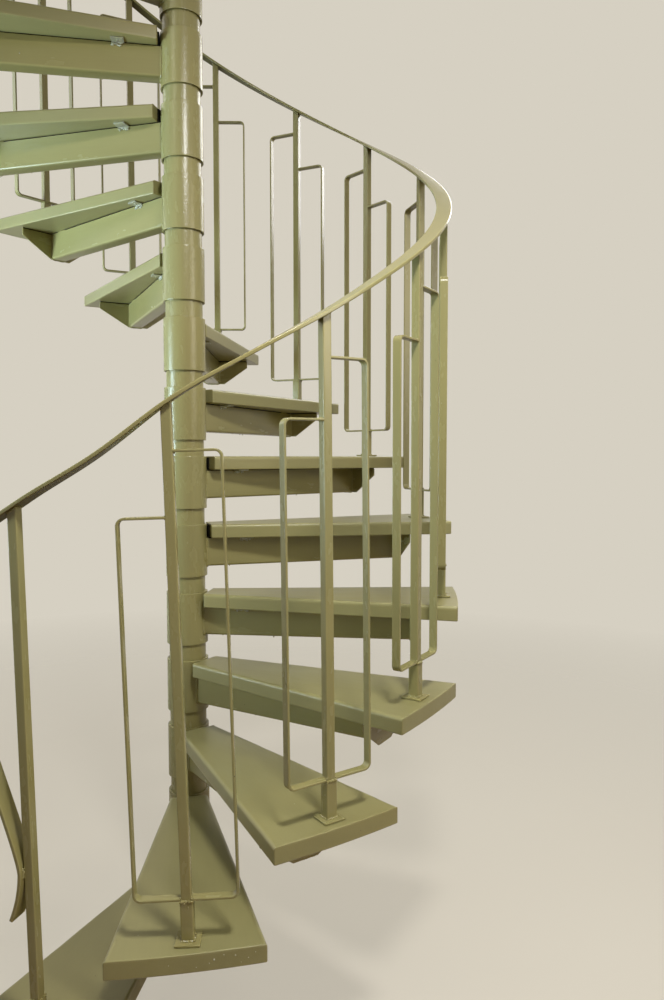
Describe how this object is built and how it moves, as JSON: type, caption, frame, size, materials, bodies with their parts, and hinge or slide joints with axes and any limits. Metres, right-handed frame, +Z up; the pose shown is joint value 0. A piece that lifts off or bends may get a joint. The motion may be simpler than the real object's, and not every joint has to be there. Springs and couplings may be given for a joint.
{
  "type": "spiral staircase",
  "caption": "Painted spiral staircase with a centre column, bracketed wedge treads, bent-bar balusters and one flat helical handrail.",
  "frame": {"origin": "on the underside of the floor plate, on the axis of the centre column", "axes": "+Z up along the column; the flight climbs anticlockwise seen from above, and its lowest tread points to -115 degrees from +X"},
  "size_m": [1.5201, 1.5213, 3.7574],
  "materials": {
    "painted_steel": "semi-gloss brushed paint, olive sage",
    "painted_timber": "semi-gloss brushed paint, olive sage"
  },
  "bodies": {
    "root": {"floor_plate": "painted_steel", "column": "painted_steel", "column_cap": "painted_steel", "handrail": "painted_steel", "tread_01": "painted_timber", "tread_02": "painted_timber", "tread_03": "painted_timber", "tread_04": "painted_timber", "tread_05": "painted_timber", "tread_06": "painted_timber", "tread_07": "painted_timber", "tread_08": "painted_timber", "tread_09": "painted_timber", "tread_10": "painted_timber", "tread_11": "painted_timber", "tread_12": "painted_timber", "tread_13": "painted_timber", "tread_14": "painted_timber", "bracket_01": "painted_steel", "bracket_02": "painted_steel", "bracket_03": "painted_steel", "bracket_04": "painted_steel", "bracket_05": "painted_steel", "bracket_06": "painted_steel", "bracket_07": "painted_steel", "bracket_08": "painted_steel", "bracket_09": "painted_steel", "bracket_10": "painted_steel", "bracket_11": "painted_steel", "bracket_12": "painted_steel", "bracket_13": "painted_steel", "bracket_14": "painted_steel", "baluster_01": "painted_steel", "baluster_02": "painted_steel", "baluster_03": "painted_steel", "baluster_04": "painted_steel", "baluster_05": "painted_steel", "baluster_06": "painted_steel", "baluster_07": "painted_steel", "baluster_08": "painted_steel", "baluster_09": "painted_steel", "baluster_10": "painted_steel", "baluster_11": "painted_steel", "baluster_12": "painted_steel", "baluster_13": "painted_steel", "baluster_14": "painted_steel"}
  },
  "joints": []
}
